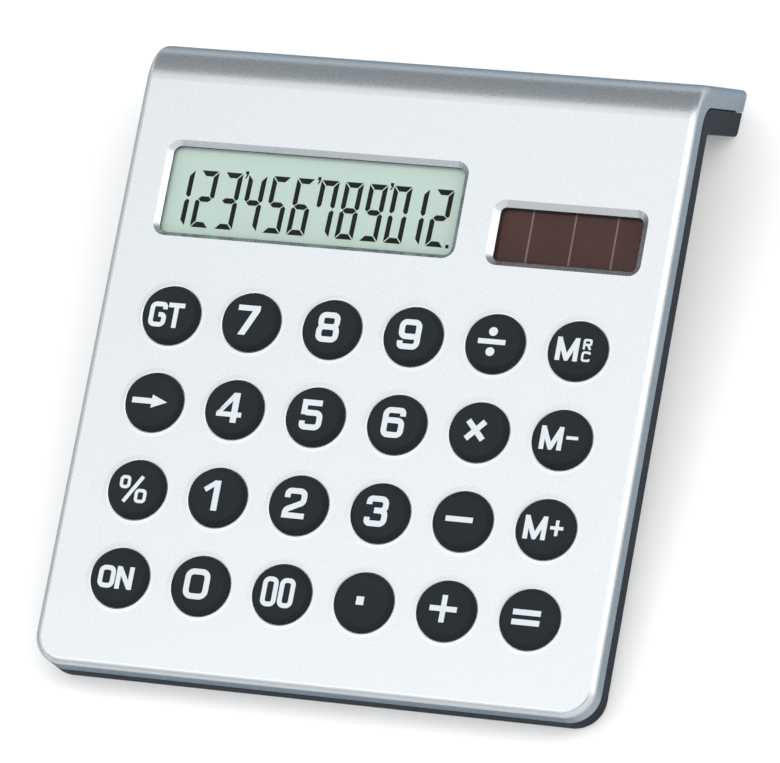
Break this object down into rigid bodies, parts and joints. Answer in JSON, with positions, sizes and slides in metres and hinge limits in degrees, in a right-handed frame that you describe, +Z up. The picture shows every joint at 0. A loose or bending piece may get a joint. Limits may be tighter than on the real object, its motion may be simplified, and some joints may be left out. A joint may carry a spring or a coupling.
{
  "type": "desk calculator",
  "caption": "Desk calculator with a bent silver face that turns down into a rear leg, round dark push keys, a sunken display and a solar cell",
  "frame": {"origin": "middle of the footprint, on the desk", "axes": "+X to the right as the user sees it, +Y away from the user towards the leg, +Z up"},
  "size_m": [0.1432, 0.1748, 0.0343],
  "materials": {
    "silver_face": "satin metallic silver",
    "dark_shell": "fine matte",
    "key_black": "matte",
    "clear_window": "clear gloss",
    "polariser_film": "clear film",
    "lcd_glass": "clear",
    "reflector_film": "satin",
    "holder_plastic": "matte",
    "contact_rubber": "matte",
    "solar_glass": "gloss",
    "red_wire": "satin",
    "black_wire": "satin",
    "silicone_mat": "matte",
    "board_laminate": "satin",
    "chip_epoxy": "gloss",
    "component_ceramic": "matte",
    "screw_steel": "plain",
    "cell_steel": "bright",
    "spring_steel": "bright",
    "foot_rubber": "matte",
    "legend_print": "flat print",
    "display_segment": "flat dark"
  },
  "bodies": {
    "housing": {"front_cover": "silver_face", "rear_cover": "dark_shell", "display_window": "clear_window", "lcd_front_polariser": "polariser_film", "lcd_front_glass": "lcd_glass", "lcd_rear_glass": "lcd_glass", "lcd_reflector": "reflector_film", "lcd_holder": "holder_plastic", "lcd_contact_strip": "contact_rubber", "solar_window": "clear_window", "solar_cell": "solar_glass", "solar_leads": "red_wire", "rubber_dome_mat": "silicone_mat", "main_board": "board_laminate", "controller_chip": "chip_epoxy", "board_components": "component_ceramic", "inner_screws": "screw_steel", "case_screws": "screw_steel", "button_cell": "cell_steel", "battery_contacts": "spring_steel", "battery_leads": "black_wire", "battery_door": "dark_shell", "battery_door_screw": "screw_steel", "front_feet": "foot_rubber", "leg_pads": "foot_rubber"},
    "key_grand_total": {"key_grand_total": "key_black"},
    "key_7": {"key_7": "key_black"},
    "key_8": {"key_8": "key_black"},
    "key_9": {"key_9": "key_black"},
    "key_divide": {"key_divide": "key_black"},
    "key_memory_recall": {"key_memory_recall": "key_black"},
    "key_backspace": {"key_backspace": "key_black"},
    "key_4": {"key_4": "key_black"},
    "key_5": {"key_5": "key_black"},
    "key_6": {"key_6": "key_black"},
    "key_multiply": {"key_multiply": "key_black"},
    "key_memory_minus": {"key_memory_minus": "key_black"},
    "key_percent": {"key_percent": "key_black"},
    "key_1": {"key_1": "key_black"},
    "key_2": {"key_2": "key_black"},
    "key_3": {"key_3": "key_black"},
    "key_minus": {"key_minus": "key_black"},
    "key_memory_plus": {"key_memory_plus": "key_black"},
    "key_on": {"key_on": "key_black"},
    "key_0": {"key_0": "key_black"},
    "key_double_zero": {"key_double_zero": "key_black"},
    "key_point": {"key_point": "key_black"},
    "key_plus": {"key_plus": "key_black"},
    "key_equals": {"key_equals": "key_black"}
  },
  "joints": [
    {"name": "key_grand_total_press", "type": "slide", "parent": "housing", "child": "key_grand_total", "axis": [0, 0.1478, -0.989], "range_m": [0, 0.0012], "stiffness_N_per_m": 500, "springref_m": -0.0001, "deforming": ["rubber_dome_mat"]},
    {"name": "key_7_press", "type": "slide", "parent": "housing", "child": "key_7", "axis": [0, 0.1478, -0.989], "range_m": [0, 0.0012], "stiffness_N_per_m": 500, "springref_m": -0.0001, "deforming": ["rubber_dome_mat"]},
    {"name": "key_8_press", "type": "slide", "parent": "housing", "child": "key_8", "axis": [0, 0.1478, -0.989], "range_m": [0, 0.0012], "stiffness_N_per_m": 500, "springref_m": -0.0001, "deforming": ["rubber_dome_mat"]},
    {"name": "key_9_press", "type": "slide", "parent": "housing", "child": "key_9", "axis": [0, 0.1478, -0.989], "range_m": [0, 0.0012], "stiffness_N_per_m": 500, "springref_m": -0.0001, "deforming": ["rubber_dome_mat"]},
    {"name": "key_divide_press", "type": "slide", "parent": "housing", "child": "key_divide", "axis": [0, 0.1478, -0.989], "range_m": [0, 0.0012], "stiffness_N_per_m": 500, "springref_m": -0.0001, "deforming": ["rubber_dome_mat"]},
    {"name": "key_memory_recall_press", "type": "slide", "parent": "housing", "child": "key_memory_recall", "axis": [0, 0.1478, -0.989], "range_m": [0, 0.0012], "stiffness_N_per_m": 500, "springref_m": -0.0001, "deforming": ["rubber_dome_mat"]},
    {"name": "key_backspace_press", "type": "slide", "parent": "housing", "child": "key_backspace", "axis": [0, 0.1478, -0.989], "range_m": [0, 0.0012], "stiffness_N_per_m": 500, "springref_m": -0.0001, "deforming": ["rubber_dome_mat"]},
    {"name": "key_4_press", "type": "slide", "parent": "housing", "child": "key_4", "axis": [0, 0.1478, -0.989], "range_m": [0, 0.0012], "stiffness_N_per_m": 500, "springref_m": -0.0001, "deforming": ["rubber_dome_mat"]},
    {"name": "key_5_press", "type": "slide", "parent": "housing", "child": "key_5", "axis": [0, 0.1478, -0.989], "range_m": [0, 0.0012], "stiffness_N_per_m": 500, "springref_m": -0.0001, "deforming": ["rubber_dome_mat"]},
    {"name": "key_6_press", "type": "slide", "parent": "housing", "child": "key_6", "axis": [0, 0.1478, -0.989], "range_m": [0, 0.0012], "stiffness_N_per_m": 500, "springref_m": -0.0001, "deforming": ["rubber_dome_mat"]},
    {"name": "key_multiply_press", "type": "slide", "parent": "housing", "child": "key_multiply", "axis": [0, 0.1478, -0.989], "range_m": [0, 0.0012], "stiffness_N_per_m": 500, "springref_m": -0.0001, "deforming": ["rubber_dome_mat"]},
    {"name": "key_memory_minus_press", "type": "slide", "parent": "housing", "child": "key_memory_minus", "axis": [0, 0.1478, -0.989], "range_m": [0, 0.0012], "stiffness_N_per_m": 500, "springref_m": -0.0001, "deforming": ["rubber_dome_mat"]},
    {"name": "key_percent_press", "type": "slide", "parent": "housing", "child": "key_percent", "axis": [0, 0.1478, -0.989], "range_m": [0, 0.0012], "stiffness_N_per_m": 500, "springref_m": -0.0001, "deforming": ["rubber_dome_mat"]},
    {"name": "key_1_press", "type": "slide", "parent": "housing", "child": "key_1", "axis": [0, 0.1478, -0.989], "range_m": [0, 0.0012], "stiffness_N_per_m": 500, "springref_m": -0.0001, "deforming": ["rubber_dome_mat"]},
    {"name": "key_2_press", "type": "slide", "parent": "housing", "child": "key_2", "axis": [0, 0.1478, -0.989], "range_m": [0, 0.0012], "stiffness_N_per_m": 500, "springref_m": -0.0001, "deforming": ["rubber_dome_mat"]},
    {"name": "key_3_press", "type": "slide", "parent": "housing", "child": "key_3", "axis": [0, 0.1478, -0.989], "range_m": [0, 0.0012], "stiffness_N_per_m": 500, "springref_m": -0.0001, "deforming": ["rubber_dome_mat"]},
    {"name": "key_minus_press", "type": "slide", "parent": "housing", "child": "key_minus", "axis": [0, 0.1478, -0.989], "range_m": [0, 0.0012], "stiffness_N_per_m": 500, "springref_m": -0.0001, "deforming": ["rubber_dome_mat"]},
    {"name": "key_memory_plus_press", "type": "slide", "parent": "housing", "child": "key_memory_plus", "axis": [0, 0.1478, -0.989], "range_m": [0, 0.0012], "stiffness_N_per_m": 500, "springref_m": -0.0001, "deforming": ["rubber_dome_mat"]},
    {"name": "key_on_press", "type": "slide", "parent": "housing", "child": "key_on", "axis": [0, 0.1478, -0.989], "range_m": [0, 0.0012], "stiffness_N_per_m": 500, "springref_m": -0.0001, "deforming": ["rubber_dome_mat"]},
    {"name": "key_0_press", "type": "slide", "parent": "housing", "child": "key_0", "axis": [0, 0.1478, -0.989], "range_m": [0, 0.0012], "stiffness_N_per_m": 500, "springref_m": -0.0001, "deforming": ["rubber_dome_mat"]},
    {"name": "key_double_zero_press", "type": "slide", "parent": "housing", "child": "key_double_zero", "axis": [0, 0.1478, -0.989], "range_m": [0, 0.0012], "stiffness_N_per_m": 500, "springref_m": -0.0001, "deforming": ["rubber_dome_mat"]},
    {"name": "key_point_press", "type": "slide", "parent": "housing", "child": "key_point", "axis": [0, 0.1478, -0.989], "range_m": [0, 0.0012], "stiffness_N_per_m": 500, "springref_m": -0.0001, "deforming": ["rubber_dome_mat"]},
    {"name": "key_plus_press", "type": "slide", "parent": "housing", "child": "key_plus", "axis": [0, 0.1478, -0.989], "range_m": [0, 0.0012], "stiffness_N_per_m": 500, "springref_m": -0.0001, "deforming": ["rubber_dome_mat"]},
    {"name": "key_equals_press", "type": "slide", "parent": "housing", "child": "key_equals", "axis": [0, 0.1478, -0.989], "range_m": [0, 0.0012], "stiffness_N_per_m": 500, "springref_m": -0.0001, "deforming": ["rubber_dome_mat"]}
  ]
}
